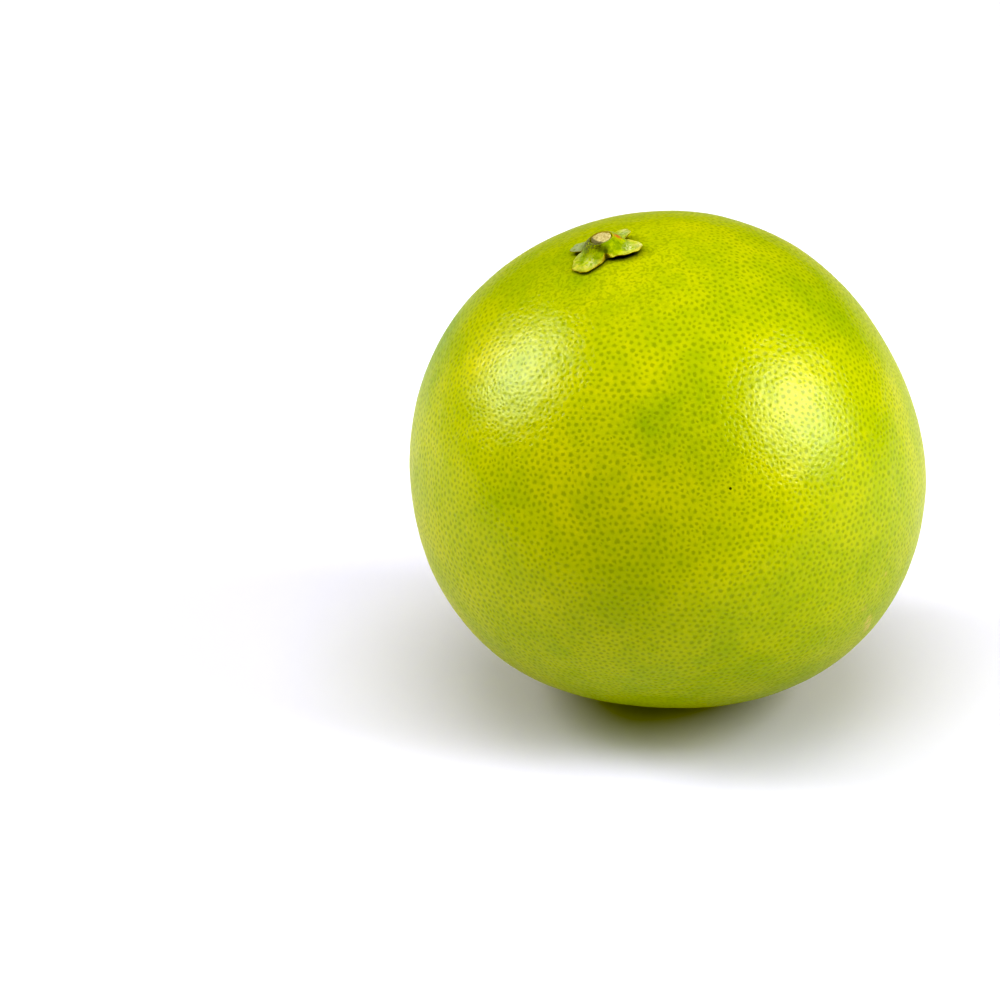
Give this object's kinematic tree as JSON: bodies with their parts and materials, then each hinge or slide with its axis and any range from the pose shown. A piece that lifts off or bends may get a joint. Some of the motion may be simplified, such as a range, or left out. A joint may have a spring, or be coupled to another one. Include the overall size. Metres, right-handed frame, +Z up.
{
  "type": "pomelo",
  "caption": "Large round citrus fruit, whole, with dimpled yellow-green rind, a dried lobed calyx and a cut stem end; it rests on a small flat spot.",
  "frame": {"origin": "middle of the small flat spot that the fruit rests on", "axes": "+Z up, away from the surface it rests on; +X to the right in the picture, away from the side that the stem end leans to; +Y towards the back"},
  "size_m": [0.1546, 0.1539, 0.1512],
  "materials": {
    "rind": "waxy yellow-green citrus rind with fine dark oil-gland dots and soft wide highlights",
    "sepals": "dull grey-green dried sepals with thin brown curled edges",
    "stem_wood": "dry tan end grain with a dark grey rim"
  },
  "bodies": {
    "root": {"fruit": "rind", "calyx": "sepals", "stem_stub": "stem_wood"}
  },
  "joints": []
}
